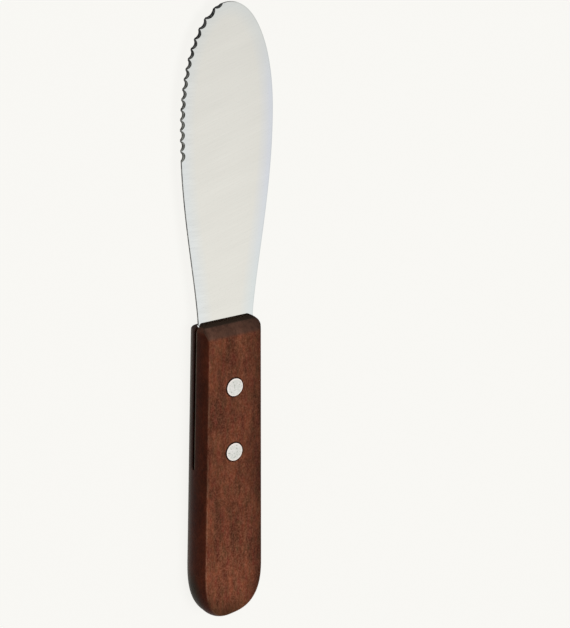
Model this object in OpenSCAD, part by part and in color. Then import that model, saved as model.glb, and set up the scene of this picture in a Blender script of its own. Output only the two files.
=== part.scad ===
// Butter knife: a wide scalloped blade riveted by its tang into the saw cut of a wooden handle.
// The origin is on the handle's flat underside, at the middle of its length. +X points to the blade's
// tip, +Y to the scalloped edge and +Z up through the handle. All lengths are in millimetres.

/* [Handle] */
// Length of the handle
handle_len = 90; // [80:0.5:105]
// Width at the front end, over the swelled sides
handle_front_w = 20.4; // [18:0.1:24]
// Width where the butt starts to round
handle_butt_w = 22.1; // [20:0.1:26]
// Thickness between the two flat faces
handle_t = 10; // [9:0.1:13]
// How far the sides swell past the edges of the flat faces
side_swell = 1.5; // [1:0.1:2]
// Length of the rounded butt
butt_len = 16; // [11:0.5:20]
// Radius of the front corners, seen from above
front_corner_r = 2; // [0.8:0.1:3]
// Length of the round-over behind the front end
nose_len = 4; // [3:0.1:5]
// Depth that the round-over takes off each flat face at the front end
nose_drop = 3.1; // [2:0.1:3.4]

/* [Blade] */
// Reach of the blade past the handle
blade_reach = 94.5; // [85:0.5:110]
// Width at its widest place
blade_w = 31.1; // [28:0.1:36]
// Width where it leaves the handle
neck_w = 18.5; // [16:0.1:19]
// Thickness of the sheet
blade_t = 0.85; // [0.75:0.05:1.2]
// How far its middle lies below the middle of the handle's thickness
blade_drop = 0.35; // [0:0.05:0.6]
// Thickness of the ground edge
edge_t = 0.6; // [0.4:0.05:0.7]
// Width of the ground band round the edge
band_w = 2.6; // [1.5:0.1:4]

/* [Scallops] */
// Length of the scalloped stretch, measured back from the tip
scalloped_len = 44.5; // [30:0.5:60]
// Mean distance from one tooth to the next, along the knife
scallop_pitch = 2.89; // [2.5:0.01:4]
// How much longer than the mean the first step is, and how much shorter the last
pitch_fall = 0.25; // [0:0.01:0.4]
// Depth of each scallop's arc
scallop_sag = 0.82; // [0.5:0.01:1]
// Lean of the ground scallops from upright
scallop_tilt = 43; // [20:1:50]

/* [Rivets] */
// Distance of the front rivet behind the handle's front end
rivet_setback = 18.9; // [14:0.1:24]
// Distance between the two rivets
rivet_pitch = 19.8; // [16:0.1:26]
// Diameter of the heads
head_d = 5.4; // [4.8:0.1:7]
// Thickness of the heads
head_h = 1.2; // [0.8:0.1:1.6]
// Outside diameter of the hollow shank
socket_d = 4.2; // [3.6:0.1:4.6]
// Diameter of the solid shank
pin_d = 2.6; // [2:0.1:3]

/* [Tang] */
// Width of the tang inside the handle
tang_w = 13; // [9:0.1:15]
// Length of the tang behind the rear rivet
tang_past_rivet = 4.5; // [3.5:0.1:8]
// Radius of the saw that cuts the slot
saw_r = 60; // [45:1:90]

/* [Hidden] */

// Room that each fit leaves, and the press fit's interference, all on the radius or on one side
slot_clearance = 0.05;
slot_end_gap = 1.5;
bore_clearance = 0.05;
hole_clearance = 0.1;
recess_clearance = 0.1;
press = 0.02;

// Overrun of every cut past the face that it leaves
over = 1;

// Fineness of the round surfaces and of the computed outlines
$fn = 64;
swell_steps = 10;
butt_steps = 44;
corner_steps = 5;
edge_steps = 22;
tip_steps = 26;
shoulder_steps = 8;

// Handle: where the straight sides end, and the radius of their swell
side_len = handle_len - butt_len;
swell_r = (pow(side_swell, 2) + pow(handle_t / 2, 2)) / (2 * side_swell);
// Butt: its squareness, how far the upper face's end slants back towards the scalloped side as a
// share of the place across, and the share of the sides' swell that is left at its end
butt_power = 2.75;
butt_slant_share = 0.19;
butt_swell_share = 0.9;
// Wood above each flat face that is planed away
face_spare = 0.04 * handle_t;

// Round-over: its arc leaves the flat face at a small angle, then falls to the front end
nose_break = 8;
nose_chord = sqrt(pow(nose_len, 2) + pow(nose_drop, 2));
nose_r = nose_chord / (2 * sin(atan(nose_drop / nose_len) - nose_break));

// Blade: the share of its reach where it is widest, the rise of its neck, the fullness of its tip
widest_share = 0.634;
widest_x = widest_share * blade_reach;
neck_rise_power = 1.3;
tip_power = 2.1;
blade_mid_z = handle_t / 2 - blade_drop;
// Run of the ground band's start, and the reach of its slope past its inner line, as shares of its width
band_run_share = 2;
grind_share = 1.5;

// Tang and slot: the tang reaches past the rear rivet, and the slot just past the tang
rear_setback = rivet_setback + rivet_pitch;
tang_len = rear_setback + tang_past_rivet;
slot_depth = tang_len + slot_end_gap;
slot_w = blade_t + 2 * slot_clearance;
tang_corner_r = 0.3 * tang_w;
shoulder_share = 0.4;
shoulder_front = 2;
shoulder_back = shoulder_front + shoulder_share * rivet_setback;

// Scallops: the teeth's place on the upper face, and the share of the last short stretch at the tip
tooth_inset = 0.06;
last_tooth_share = 0.85;
last_sag_share = 0.5;
scallop_count = floor(scalloped_len / scallop_pitch);
scallop_start_x = blade_reach - scalloped_len;

// Rivets: the heads' broken edge, the hollow shank's end above the other head, the pin's play in it
head_break = 0.15;
socket_gap = 0.8;
pin_end_gap = 0.3;
socket_len = handle_t - 2 * head_h - socket_gap;
pin_len = handle_t - 2 * head_h - pin_end_gap;

// Moves a piece drawn from the handle's front end into the part's own frame
module place() {
    translate([handle_len / 2, 0, 0]) children();
}

function lerp(a, b, share) = a + (b - a) * share;

// Puts a closed wall through rings of points, one above the other, and caps both ends
module loft(rings) {
    n = len(rings[0]);
    top = len(rings) - 1;
    polyhedron(
        points = [for (ring = rings) each ring],
        faces = concat(
            [[for (i = [0 : n - 1]) i]],
            [for (k = [0 : top - 1], i = [0 : n - 1]) each [
                [k * n + i, (k + 1) * n + (i + 1) % n, k * n + (i + 1) % n],
                [k * n + i, (k + 1) * n + i, (k + 1) * n + (i + 1) % n]
            ]],
            [[for (i = [n - 1 : -1 : 0]) top * n + i]]
        ),
        convexity = 4
    );
}

// How far the side lies inside its widest line at a height z of the handle
function swell_inset(z) = swell_r - sqrt(pow(swell_r, 2) - pow(z - handle_t / 2, 2));

// Half the handle's width at a distance back from its front end
function handle_half_w(back) = lerp(handle_front_w, handle_butt_w, back / side_len) / 2;

// One side of the handle's outline, from the middle of the front end to the middle of the butt
function handle_side(inset) = concat(
    [for (i = [0 : corner_steps])
        let (a = 90 * i / corner_steps)
        [
            -front_corner_r * (1 - cos(a)),
            handle_half_w(0) - inset - front_corner_r * (1 - sin(a))
        ]],
    [for (i = [0 : butt_steps])
        let (a = 90 * i / butt_steps)
        [
            -side_len - (butt_len - butt_swell_share * inset) * pow(sin(a), 2 / butt_power),
            (handle_half_w(side_len) - inset) * pow(cos(a), 2 / butt_power)
        ]]
);

// A point of the outline, moved back or forward by the butt's slant, which grows above the middle
function slanted(x, y, z) =
    let (slant = butt_slant_share * max(0, 2 * z / handle_t - 1))
    [x - slant * y * max(0, -x - side_len) / butt_len, y, z];

// The handle's whole outline at one height, the far side being the near side mirrored
function handle_ring(z) =
    let (side = handle_side(swell_inset(z)), last = len(side) - 1)
    concat(
        [for (i = [0 : last]) slanted(side[i].x, side[i].y, z)],
        [for (i = [last - 1 : -1 : 0]) slanted(side[i].x, -side[i].y, z)]
    );

// The swelled block, lofted a little too thick and then cut flat on both faces
module handle_blank() {
    intersection() {
        loft([for (k = [0 : swell_steps])
            handle_ring(lerp(-face_spare, handle_t + face_spare, k / swell_steps))]);
        translate([-handle_len - over, -handle_butt_w / 2 - over, 0])
            cube([handle_len + 2 * over, handle_butt_w + 2 * over, handle_t]);
    }
}

// What the round-over removes above the handle's front end
module nose_cut() {
    rotate([90, 0, 0])
        linear_extrude(height = handle_butt_w + 2 * over, center = true)
            difference() {
                translate([-nose_len, handle_t - nose_drop - over])
                    square([nose_len + over, nose_drop + 2 * over]);
                translate([
                    -nose_len - nose_r * sin(nose_break),
                    handle_t - nose_r * cos(nose_break)
                ]) circle(r = nose_r, $fn = 4 * $fn);
            }
}

// The saw cut: one thin disc, as deep as the tang needs
module saw_cut() {
    translate([saw_r - slot_depth, 0, blade_mid_z - slot_w / 2])
        cylinder(r = saw_r, h = slot_w, $fn = 4 * $fn);
}

// Bore for one rivet, with a recess for each of its heads
module rivet_bore() {
    translate([0, 0, -over])
        cylinder(d = socket_d + 2 * bore_clearance, h = handle_t + 2 * over);
    for (z = [-over, handle_t - head_h])
        translate([0, 0, z])
            cylinder(d = head_d + 2 * recess_clearance, h = head_h + over);
}

// One-piece wooden handle with swelled sides, a rounded butt and a sawn slot for the tang
module handle() {
    color("#6b3d2a")
        place()
            difference() {
                handle_blank();
                nose_cut();
                translate([0, 0, handle_t]) mirror([0, 0, 1]) nose_cut();
                saw_cut();
                for (x = [-rivet_setback, -rear_setback])
                    translate([x, 0, 0]) rivet_bore();
            }
}

// Half the blade's width at a distance x in front of the handle, up to its widest place
function neck_half_w(x) =
    lerp(neck_w, blade_w, pow(sin(90 * x / widest_x), neck_rise_power)) / 2;

// Half the blade's width from its widest place to the tip
function tip_half_w(x) =
    let (share = (x - widest_x) / (blade_reach - widest_x))
    blade_w / 2 * pow(1 - pow(share, tip_power), 1 / tip_power);

function blade_half_w(x) = x < widest_x ? neck_half_w(x) : tip_half_w(x);

// Width of the ground band: none at the handle, full a short way out
function band_at(x) = band_w * max(0, min(1, x / (band_run_share * band_w)));

// One edge of the blade and tang, from the tang's end to the tip
function blade_side() = concat(
    [for (i = [0 : corner_steps])
        let (a = 90 * i / corner_steps)
        [
            -tang_len + tang_corner_r * (1 - cos(a)),
            tang_w / 2 - tang_corner_r * (1 - sin(a))
        ]],
    [for (i = [0 : shoulder_steps])
        let (share = i / shoulder_steps)
        [
            lerp(-shoulder_back, -shoulder_front, share),
            lerp(tang_w, neck_w, (1 - cos(180 * share)) / 2) / 2
        ]],
    [for (i = [0 : edge_steps - 1])
        let (x = widest_x * i / edge_steps)
        [x, neck_half_w(x)]],
    [for (i = [0 : tip_steps])
        let (a = 90 * i / tip_steps)
        [
            lerp(widest_x, blade_reach, pow(sin(a), 2 / tip_power)),
            blade_w / 2 * pow(cos(a), 2 / tip_power)
        ]]
);

// The whole edge, in order round the blade
function blade_outline() =
    let (side = blade_side(), last = len(side) - 1)
    concat(
        [for (i = [0 : last]) [side[i].x, -side[i].y]],
        [for (i = [last - 1 : -1 : 0]) side[i]]
    );

// A line inside the edge, set square to it at a number of band widths
function band_line(edge, widths) =
    let (n = len(edge))
    [for (i = [0 : n - 1])
        let (
            run = edge[(i + 1) % n] - edge[(i + n - 1) % n],
            inward = [-run.y, run.x] / norm(run)
        )
        edge[i] + inward * widths * band_at(edge[i].x)];

function lifted(points, z) = [for (p = points) [p.x, p.y, z]];

// The sheet: full thickness inside the band, ground thinner towards the edge on both faces.
// The grinding slope is lofted on past the sheet's faces, and the sheet is what lies between them.
module blade_blank() {
    edge = blade_outline();
    inner = band_line(edge, grind_share);
    inner_z = lerp(edge_t, blade_t, grind_share) / 2;
    translate([0, 0, blade_mid_z])
        intersection() {
            loft([
                lifted(inner, -inner_z),
                lifted(edge, -edge_t / 2),
                lifted(edge, edge_t / 2),
                lifted(inner, inner_z)
            ]);
            translate([-tang_len - over, -blade_w / 2 - over, -blade_t / 2])
                cube([tang_len + blade_reach + 2 * over, blade_w + 2 * over, blade_t]);
        }
}

// Place of one tooth along the knife: steps that fall evenly towards the tip, as the edge turns
// away from the knife's own direction, then a short one that runs out
function tooth_x(i) =
    i <= scallop_count
        ? scallop_start_x + i * (
            scallop_pitch + pitch_fall * (scallop_count - i) / (scallop_count - 1)
        )
        : lerp(tooth_x(scallop_count), blade_reach, last_tooth_share);

// The leaning cylinder that grinds one scallop between two teeth, long enough for its lean
module scallop(from, to, sag) {
    chord = norm(to - from);
    wheel_r = (pow(chord / 2, 2) + pow(sag, 2)) / (2 * sag);
    wheel_h = 2 * (wheel_r * sin(scallop_tilt) + blade_t + over) / cos(scallop_tilt);
    middle = (from + to) / 2;
    deepest = tooth_inset + sag / cos(scallop_tilt);
    translate([middle.x, middle.y, blade_mid_z + edge_t / 2])
        rotate([0, 0, atan2(to.y - from.y, to.x - from.x)])
            translate([0, wheel_r / cos(scallop_tilt) - deepest, 0])
                rotate([scallop_tilt, 0, 0])
                    cylinder(r = wheel_r, h = wheel_h, center = true);
}

// Stainless blade and tang from one sheet, with its scalloped edge and two rivet holes
module blade() {
    color("#d9dcd8")
        place()
            difference() {
                blade_blank();
                for (i = [0 : scallop_count])
                    scallop(
                        [tooth_x(i), blade_half_w(tooth_x(i))],
                        [tooth_x(i + 1), blade_half_w(tooth_x(i + 1))],
                        scallop_sag * (i < scallop_count ? 1 : last_sag_share)
                    );
                for (x = [-rivet_setback, -rear_setback])
                    translate([x, 0, blade_mid_z - blade_t / 2 - over])
                        cylinder(d = socket_d + 2 * hole_clearance, h = blade_t + 2 * over);
            }
}

// Profile of a flush rivet head with its outer rim broken, face down at zero
module head_profile() {
    polygon([
        [0, 0],
        [head_d / 2 - head_break, 0],
        [head_d / 2, head_break],
        [head_d / 2, head_h],
        [0, head_h]
    ]);
}

// Female half: a head on the upper face and a hollow shank that hangs from it
module rivet_female(setback) {
    color("#c9cbc8")
        place()
            translate([-setback, 0, handle_t])
                mirror([0, 0, 1])
                    difference() {
                        union() {
                            rotate_extrude() head_profile();
                            translate([0, 0, head_h]) cylinder(d = socket_d, h = socket_len);
                        }
                        translate([0, 0, head_h])
                            cylinder(d = pin_d - 2 * press, h = socket_len + over);
                    }
}

// Male half: a head on the lower face and a solid shank pressed up into the hollow one
module rivet_male(setback) {
    color("#c9cbc8")
        place()
            translate([-setback, 0, 0]) {
                rotate_extrude() head_profile();
                translate([0, 0, head_h]) cylinder(d = pin_d, h = pin_len);
            }
}

module front_rivet_female() {
    rivet_female(rivet_setback);
}

module front_rivet_male() {
    rivet_male(rivet_setback);
}

module rear_rivet_female() {
    rivet_female(rear_setback);
}

module rear_rivet_male() {
    rivet_male(rear_setback);
}

blade();
handle();
front_rivet_female();
front_rivet_male();
rear_rivet_female();
rear_rivet_male();
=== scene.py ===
"""Butter knife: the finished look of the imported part.

A wide spreader blade with scallops ground along one edge, a one-piece hardwood handle with a saw
cut for the tang, and two compression rivets. Sizes are in millimetres, measured as the part's own
source measures them: forward from the handle's front end, across to the scalloped edge, and up
from the handle's underside. Meshes are in metres, in the part's own frame.
"""

from __future__ import annotations

import logging
import math
from dataclasses import dataclass, field
from enum import Enum
from typing import Iterable, Sequence, Union

import bmesh
import bpy
import numpy as np
from mathutils import Matrix, Vector

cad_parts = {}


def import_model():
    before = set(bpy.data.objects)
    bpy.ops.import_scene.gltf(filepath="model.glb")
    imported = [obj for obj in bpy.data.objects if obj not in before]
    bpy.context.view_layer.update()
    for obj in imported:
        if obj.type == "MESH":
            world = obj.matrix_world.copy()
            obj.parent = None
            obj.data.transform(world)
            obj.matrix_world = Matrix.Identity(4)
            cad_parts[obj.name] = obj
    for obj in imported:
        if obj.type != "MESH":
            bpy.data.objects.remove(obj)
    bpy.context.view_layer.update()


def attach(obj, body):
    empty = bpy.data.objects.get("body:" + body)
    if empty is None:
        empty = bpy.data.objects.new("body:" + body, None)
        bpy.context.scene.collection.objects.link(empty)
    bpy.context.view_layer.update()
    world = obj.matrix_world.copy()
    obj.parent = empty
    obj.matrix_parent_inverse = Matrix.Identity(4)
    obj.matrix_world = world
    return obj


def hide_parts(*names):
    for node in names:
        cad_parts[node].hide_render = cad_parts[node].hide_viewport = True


log = logging.getLogger("butter_knife")

MM = 0.001
BODY = "root"
CREASE = math.radians(28)

# How near points are that get joined, in metres, and how far a cutter reaches past what it cuts
MEET = 1e-7
PAST = 1.0

# Sizes that several classes share; the rivets stand behind the handle's front end
FRONT = 45.0
THICKNESS = 10.0
BLADE_Z = 4.65
NOSE_LENGTH = 4.0
NOSE_DROP = 3.1
SETBACKS = {"front": 18.9, "rear": 38.7}
RIVETS_X = tuple(FRONT - setback for setback in SETBACKS.values())

Piece = bpy.types.Object
Material = bpy.types.Material
Pair = tuple[float, float]
Triple = tuple[float, float, float]
Colour = Triple
Size = Union[int, float]
Inputs = dict[Union[str, int], object]
Value = Union[float, "Term"]
Tone = Union[Colour, "Term"]

# Along each measure that it names, an area starts to show at one place and is full at the other.
# Its x, y and z are the part's own, in millimetres.
Area = tuple[tuple[str, float, float], ...]


# Node sheets and the sums on them


class Sheet:
    """Adds nodes to one tree by short calls."""

    def __init__(self, tree: bpy.types.NodeTree) -> None:
        """Takes the tree that the nodes go into."""
        self.tree = tree

    def feed(self, socket: bpy.types.NodeSocket, value: object) -> None:
        """Links a term into a socket, or sets the socket's own value.

        Args:
            socket: the input socket.
            value: a term, or a plain value of the socket's type.
        """
        if isinstance(value, Term):
            self.tree.links.new(value.socket, socket)
        else:
            socket.default_value = value

    def node(self, kind: str, inputs: Inputs | None = None, **settings: object) -> bpy.types.Node:
        """Adds one node.

        Args:
            kind: Blender's name of the node type.
            inputs: socket name or place, and what feeds it.
            settings: the node's own properties.

        Returns:
            The new node.
        """
        made = self.tree.nodes.new(kind)
        for name, value in settings.items():
            setattr(made, name, value)
        for socket, value in (inputs or {}).items():
            self.feed(made.inputs[socket], value)
        return made

    def out(
        self, kind: str, inputs: Inputs | None = None, take: Union[str, int] = 0, **settings: object
    ) -> Term:
        """Adds one node and returns one of its outputs as a term.

        Args:
            kind: Blender's name of the node type.
            inputs: socket name or place, and what feeds it.
            take: name or place of the output.
            settings: the node's own properties.

        Returns:
            The output as a term.
        """
        return Term(self, self.node(kind, inputs, **settings).outputs[take])

    def vector(self, x: Value, y: Value, z: Value) -> Term:
        """A vector of three parts."""
        return self.out("ShaderNodeCombineXYZ", {0: x, 1: y, 2: z})

    def split(self, vector: Term) -> tuple[Term, Term, Term]:
        """The three parts of a vector."""
        parts = self.node("ShaderNodeSeparateXYZ", {0: vector})
        return tuple(Term(self, socket) for socket in parts.outputs)

    def scaled(self, vector: Term, amount: Value) -> Term:
        """A vector made longer or shorter, or a colour made lighter or darker."""
        return self.out("ShaderNodeVectorMath", {0: vector, "Scale": amount}, operation="SCALE")


@dataclass(frozen=True)
class Term:
    """An output socket that stands in a sum."""

    sheet: Sheet
    socket: bpy.types.NodeSocket

    def math(self, operation: str, *others: Value, clamp: bool = False) -> Term:
        """Puts this term and others through one Math node.

        Args:
            operation: the node's operation.
            others: the operands after this one.
            clamp: whether the result is kept from 0 to 1.

        Returns:
            The result as a term.
        """
        made = self.sheet.node("ShaderNodeMath", operation=operation, use_clamp=clamp)
        for place, value in zip(made.inputs, (self, *others)):
            self.sheet.feed(place, value)
        return Term(self.sheet, made.outputs[0])

    def __add__(self, other: Value) -> Term:
        """Sum."""
        return self.math("ADD", other)

    __radd__ = __add__

    def __sub__(self, other: Value) -> Term:
        """Difference."""
        return self.math("SUBTRACT", other)

    def __rsub__(self, other: Value) -> Term:
        """Difference from a plain number."""
        return self.math("MULTIPLY_ADD", -1.0, other)

    def __mul__(self, other: Value) -> Term:
        """Product."""
        return self.math("MULTIPLY", other)

    __rmul__ = __mul__

    def __truediv__(self, other: Value) -> Term:
        """Quotient."""
        return self.math("DIVIDE", other)

    def __rtruediv__(self, other: Value) -> Term:
        """Quotient of a plain number."""
        return self.math("POWER", -1.0) * other

    def __pow__(self, other: Value) -> Term:
        """Power of a base that isn't negative."""
        return self.math("POWER", other)

    def __abs__(self) -> Term:
        """The term without its sign."""
        return self.math("ABSOLUTE")

    def sin(self) -> Term:
        """Sine."""
        return self.math("SINE")

    def cos(self) -> Term:
        """Cosine."""
        return self.math("COSINE")

    def above(self, limit: Value) -> Term:
        """1 where the term is more than the limit, and 0 elsewhere."""
        return self.math("GREATER_THAN", limit)

    def at_least(self, limit: Value) -> Term:
        """The larger of the term and the limit."""
        return self.math("MAXIMUM", limit)

    def at_most(self, limit: Value) -> Term:
        """The smaller of the term and the limit."""
        return self.math("MINIMUM", limit)

    def share(self, start: Value, end: Value) -> Term:
        """How far the term is on its way from start to end, kept from 0 to 1."""
        return (self - start).math("DIVIDE", end - start, clamp=True)


def blend(start: Value, end: Value, share: Value) -> Value:
    """The value a share of the way from start to end."""
    return start + (end - start) * share


def graded(level: Value, *grades: tuple[Value, Value]) -> Value:
    """Multiplies a level by several factors, each in its own place.

    Args:
        level: the level to start from.
        grades: each factor, and the share from 0 to 1 in which it holds.

    Returns:
        The level with all its factors.
    """
    for factor, where in grades:
        level = level * blend(1.0, factor, where)
    return level


def within(area: Area, measures: dict[str, Term], share: Value = 1.0) -> Value:
    """How far a place lies within an area, multiplied by a share.

    Args:
        area: the area.
        measures: the place's measures, by name.
        share: the share that is multiplied.

    Returns:
        The product, from 0 to 1.
    """
    for name, start, end in area:
        share = share * measures[name].share(start, end)
    return share


def distance(x: Term, y: Term) -> Term:
    """How far a place is from the origin."""
    return (abs(x) ** 2.0 + abs(y) ** 2.0) ** 0.5


def halves(share: Term) -> tuple[Term, Term]:
    """The half that a share lies in, as -1 or 1, and how far it is from the middle, from 0 to 1."""
    turn = share * 2.0 - 1.0
    return turn.above(0.0) * 2.0 - 1.0, abs(turn)


def arc_radius(chord_square: Value, sag: Value) -> Value:
    """Radius of an arc, from the square of its chord and its sag."""
    return (chord_square / 4.0 + sag ** 2.0) / (sag * 2.0)


def titled(one: str) -> str:
    """A field's name as an input's title: side_swell is Side Swell."""
    return one.replace("_", " ").title()


class ShapeTree(Sheet):
    """A Geometry Nodes tree with named sizes, in millimetres."""

    def __init__(self, name: str, part: object, fields: str, **others: Size) -> None:
        """Starts the tree, with an input for each size.

        Args:
            name: the tree's name.
            part: the sub-assembly that holds the sizes.
            fields: names of its fields, with spaces between them.
            others: sizes that are no field. A whole number makes a count.
        """
        super().__init__(bpy.data.node_groups.new(name, "GeometryNodeTree"))
        sockets = self.tree.interface
        for way in ("INPUT", "OUTPUT"):
            sockets.new_socket("Geometry", in_out=way, socket_type="NodeSocketGeometry")
        self.sizes: dict[str, Size] = {one: getattr(part, one) for one in fields.split()} | others
        self.identifiers: dict[str, str] = {}
        for one, size in self.sizes.items():
            kind = "NodeSocketInt" if isinstance(size, int) else "NodeSocketFloat"
            socket = sockets.new_socket(titled(one), in_out="INPUT", socket_type=kind)
            socket.default_value = size
            self.identifiers[one] = socket.identifier
        self.entry = self.node("NodeGroupInput")

    def size(self, one: str) -> Term:
        """One named input as a term."""
        return Term(self, self.entry.outputs[titled(one)])

    def blank(self) -> Term:
        """The geometry that the modifier is given."""
        return Term(self, self.entry.outputs["Geometry"])

    def patch(self, across: Value, along: Value) -> tuple[Term, Term, Term]:
        """A sheet of vertices, and each one's two shares from 0 to 1.

        Args:
            across: vertices in the first direction.
            along: vertices in the second direction.

        Returns:
            The sheet, the first share and the second share.
        """
        counts = {"Size X": 1.0, "Size Y": 1.0, "Vertices X": across, "Vertices Y": along}
        x, y, _ = self.split(self.out("GeometryNodeInputPosition"))
        return self.out("GeometryNodeMeshGrid", counts), x + 0.5, y + 0.5

    def placed(self, geometry: Term, x: Value, y: Value, z: Value) -> Term:
        """Sets every vertex's place, given in millimetres."""
        place = self.scaled(self.vector(x, y, z), MM)
        return self.out("GeometryNodeSetPosition", {"Geometry": geometry, "Position": place})

    def joined(self, geometry: Term) -> Term:
        """Joins the vertices that meet."""
        return self.out("GeometryNodeMergeByDistance", {"Geometry": geometry, "Distance": MEET})

    def end(self, geometry: Term, *finishes: tuple[Material, Union[Term, bool]]) -> None:
        """Ends the tree in Realize Instances and Set Material.

        Args:
            geometry: the finished shape.
            finishes: each material, and the faces that it goes on.
        """
        result = self.out("GeometryNodeRealizeInstances", {"Geometry": geometry})
        for material, faces in finishes:
            inputs = {"Geometry": result, "Selection": faces, "Material": material}
            result = self.out("GeometryNodeSetMaterial", inputs)
        self.node("NodeGroupOutput", {"Geometry": result})

    def make(self, name: str, start: bpy.types.Mesh | None = None, **changes: Size) -> Piece:
        """Runs the tree on a new object and keeps the result as a plain mesh.

        Args:
            name: the piece's name.
            start: the mesh that the tree works on, if it works on one.
            changes: sizes that differ from the tree's own.

        Returns:
            The object, with no modifier left on it.
        """
        piece = linked(name, start or bpy.data.meshes.new(name))
        modifier = piece.modifiers.new("shape", "NODES")
        modifier.node_group = self.tree
        for one, size in (self.sizes | changes).items():
            modifier[self.identifiers[one]] = size
        return settled(piece)


# Plain meshes


def linked(name: str, data: bpy.types.ID) -> Piece:
    """Makes an object of some data and links it to the scene.

    Args:
        name: the object's name.
        data: its mesh, camera or light.

    Returns:
        The object.
    """
    piece = bpy.data.objects.new(name, data)
    bpy.context.scene.collection.objects.link(piece)
    return piece


def settled(piece: Piece) -> Piece:
    """Turns a piece and its modifiers into a plain mesh.

    Args:
        piece: an object with modifiers.

    Returns:
        The same object, with the result as its mesh.
    """
    depsgraph = bpy.context.evaluated_depsgraph_get()
    mesh = bpy.data.meshes.new_from_object(
        piece.evaluated_get(depsgraph), preserve_all_data_layers=True, depsgraph=depsgraph
    )
    piece.modifiers.clear()
    mesh.name = piece.name
    piece.data = mesh
    return piece


def dressed(piece: Piece, *finishes: Material) -> Piece:
    """Gives a piece exactly these finishes, in this order. A face with none of them gets the first.

    Args:
        piece: a plain mesh object.
        finishes: the materials.

    Returns:
        The piece.
    """
    mesh = piece.data
    worn = [finishes.index(one) if one in finishes else 0 for one in mesh.materials] or [0]
    faces = [worn[face.material_index] for face in mesh.polygons]
    mesh.materials.clear()
    for finish in finishes:
        mesh.materials.append(finish)
    mesh.polygons.foreach_set("material_index", faces)
    return piece


def creased(piece: Piece) -> Piece:
    """Shades a piece smooth, with sharp edges where its faces turn by more than the crease.

    Args:
        piece: a plain mesh object.

    Returns:
        The piece.
    """
    mesh = piece.data
    mesh.polygons.foreach_set("use_smooth", [True] * len(mesh.polygons))
    mesh.set_sharp_from_angle(angle=CREASE)
    mesh.update()
    return piece


def outward(piece: Piece, join: bool = False) -> Piece:
    """Turns all faces of a closed piece outwards.

    Args:
        piece: a plain mesh object.
        join: whether its points that meet are joined first.

    Returns:
        The piece.
    """
    work = bmesh.new()
    work.from_mesh(piece.data)
    if join:
        bmesh.ops.remove_doubles(work, verts=work.verts, dist=MEET)
        bmesh.ops.dissolve_degenerate(work, edges=work.edges, dist=MEET / 10)
    bmesh.ops.recalc_face_normals(work, faces=work.faces)
    work.to_mesh(piece.data)
    work.free()
    return piece


def new_piece(name: str, points: np.ndarray, faces: Sequence[Sequence[int]]) -> Piece:
    """Makes an object from points in millimetres.

    Args:
        name: the object's name.
        points: one row of three lengths for each vertex.
        faces: the vertices of each face.

    Returns:
        The object, linked to the scene.
    """
    mesh = bpy.data.meshes.new(name)
    mesh.from_pydata((points * MM).tolist(), [], faces)
    mesh.update()
    return linked(name, mesh)


def lofted(name: str, rings: Sequence[np.ndarray]) -> Piece:
    """Makes a closed skin through rings of points, whose first and last ring are flat lines.

    Args:
        name: the object's name.
        rings: equal counts of points, in millimetres.

    Returns:
        The object, with doubled points joined and faces turned outwards.
    """
    count = len(rings[0])
    faces: list[tuple[int, ...]] = []
    for low in range(0, count * (len(rings) - 1), count):
        faces += [
            (low + i, low + (i + 1) % count, low + count + (i + 1) % count, low + count + i)
            for i in range(count)
        ]
    return outward(new_piece(name, np.concatenate(rings), faces), join=True)


def turned(name: str, profile: Sequence[Pair], forward: float, steps: int) -> Piece:
    """Makes a solid of revolution about an upright axis in the knife's middle.

    Args:
        name: the object's name.
        profile: radius and height of each corner, from the lowest point on the axis to the highest.
        forward: how far forward the axis is.
        steps: sides of the circle.

    Returns:
        The object.
    """
    angles = np.linspace(0, 2 * math.pi, steps, endpoint=False)
    circle = np.stack([np.cos(angles), np.sin(angles)], 1)
    rings = [
        np.column_stack([circle * radius + (forward, 0.0), np.full(steps, height)])
        for radius, height in profile
    ]
    return lofted(name, rings)


def disc(name: str, radius: float, low: float, high: float, forward: float, steps: int) -> Piece:
    """Makes a round plate, turned about an upright axis."""
    return turned(name, [(0, low), (radius, low), (radius, high), (0, high)], forward, steps)


def carve(piece: Piece, cutters: Iterable[Piece]) -> Piece:
    """Takes the cutters out of a piece, one after the other, and removes them.

    Args:
        piece: the object that is cut.
        cutters: closed objects.

    Returns:
        The piece, as a plain mesh.
    """
    cutters = list(cutters)
    for cutter in cutters:
        cut = piece.modifiers.new("cut", "BOOLEAN")
        cut.operation = "DIFFERENCE"
        cut.solver = "MANIFOLD"
        cut.object = cutter
    settled(piece)
    for cutter in cutters:
        bpy.data.objects.remove(cutter)
    return piece


# Finishes


@dataclass(frozen=True)
class Pattern:
    """Smooth noise. Its grain is the patches' length in each direction, in millimetres.

    Detail is how many finer noises lie on it, roughness how strong each of those is, and bend how
    far it is bent out of shape. The turn is in degrees, and the shift in patches.
    """

    grain: Triple
    detail: float
    roughness: float
    bend: float = 0.0
    turn: float = 0.0
    shift: Triple = (0.0, 0.0, 0.0)


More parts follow.
